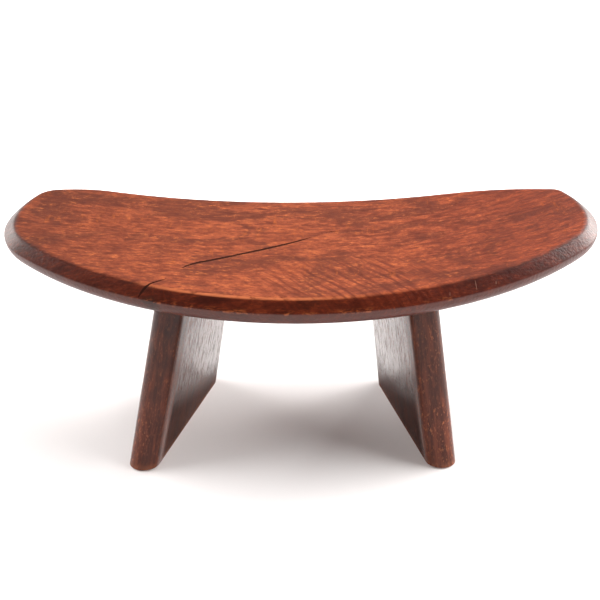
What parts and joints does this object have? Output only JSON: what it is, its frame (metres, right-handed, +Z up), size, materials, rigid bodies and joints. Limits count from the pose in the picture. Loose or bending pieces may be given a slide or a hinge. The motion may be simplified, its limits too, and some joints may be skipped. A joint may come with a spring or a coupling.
{
  "type": "kneeling bench",
  "caption": "Low kneeling bench: a crescent wooden seat board with bevelled edges, leaning slightly forward on splayed plank legs.",
  "frame": {"origin": "on the floor, midway across the width and midway between the front and the back of the bench", "axes": "+Z up, +X along the seat's length to the right as seen from the convex front edge, +Y towards the concave back edge"},
  "size_m": [0.472, 0.201, 0.1752],
  "materials": {
    "seat_wood": "reddish-brown hardwood, stained and satin lacquered, worn on the top",
    "leg_wood": "the same stained hardwood, darker, satin lacquered, rubbed at the sole",
    "dowel_wood": "plain pale beech rod"
  },
  "bodies": {
    "root": {"seat": "seat_wood", "left_leg": "leg_wood", "right_leg": "leg_wood", "left_front_dowel": "dowel_wood", "left_middle_dowel": "dowel_wood", "left_rear_dowel": "dowel_wood", "right_front_dowel": "dowel_wood", "right_middle_dowel": "dowel_wood", "right_rear_dowel": "dowel_wood"}
  },
  "joints": []
}
